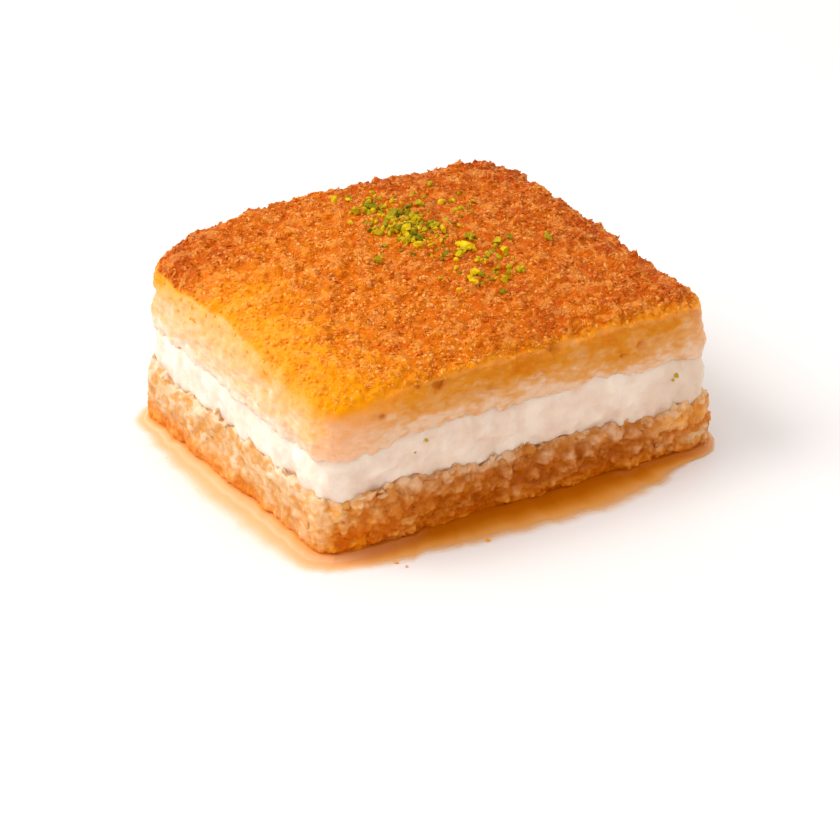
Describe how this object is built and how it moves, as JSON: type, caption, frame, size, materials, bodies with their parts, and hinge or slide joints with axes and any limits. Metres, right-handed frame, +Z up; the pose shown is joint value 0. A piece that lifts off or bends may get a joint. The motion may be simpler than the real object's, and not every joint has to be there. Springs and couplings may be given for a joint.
{
  "type": "ekmek kadayif",
  "caption": "Cut portion of syrup-soaked bread dessert: browned, crowned top over a layer of clotted cream and a bread base, strewn with crushed pistachio; rests flat.",
  "frame": {"origin": "middle of the bounding box, on the flat face the portion rests on", "axes": "+X along the long cut side, +Y along the short cut side away from the front corner, +Z up"},
  "size_m": [0.106, 0.08, 0.0466],
  "materials": {
    "soaked_bread": "wet, coarse, translucent amber crumb",
    "cream": "smooth, thick, off-white, softly lumpy",
    "browned_bread": "granular golden to orange-brown crust with a syrup glaze, pale crumb below",
    "pistachio": "crushed nut, yellow-green to dark green",
    "syrup": "thin clear amber film"
  },
  "bodies": {
    "root": {"lower_bread": "soaked_bread", "cream": "cream", "upper_bread": "browned_bread"}
  },
  "joints": []
}
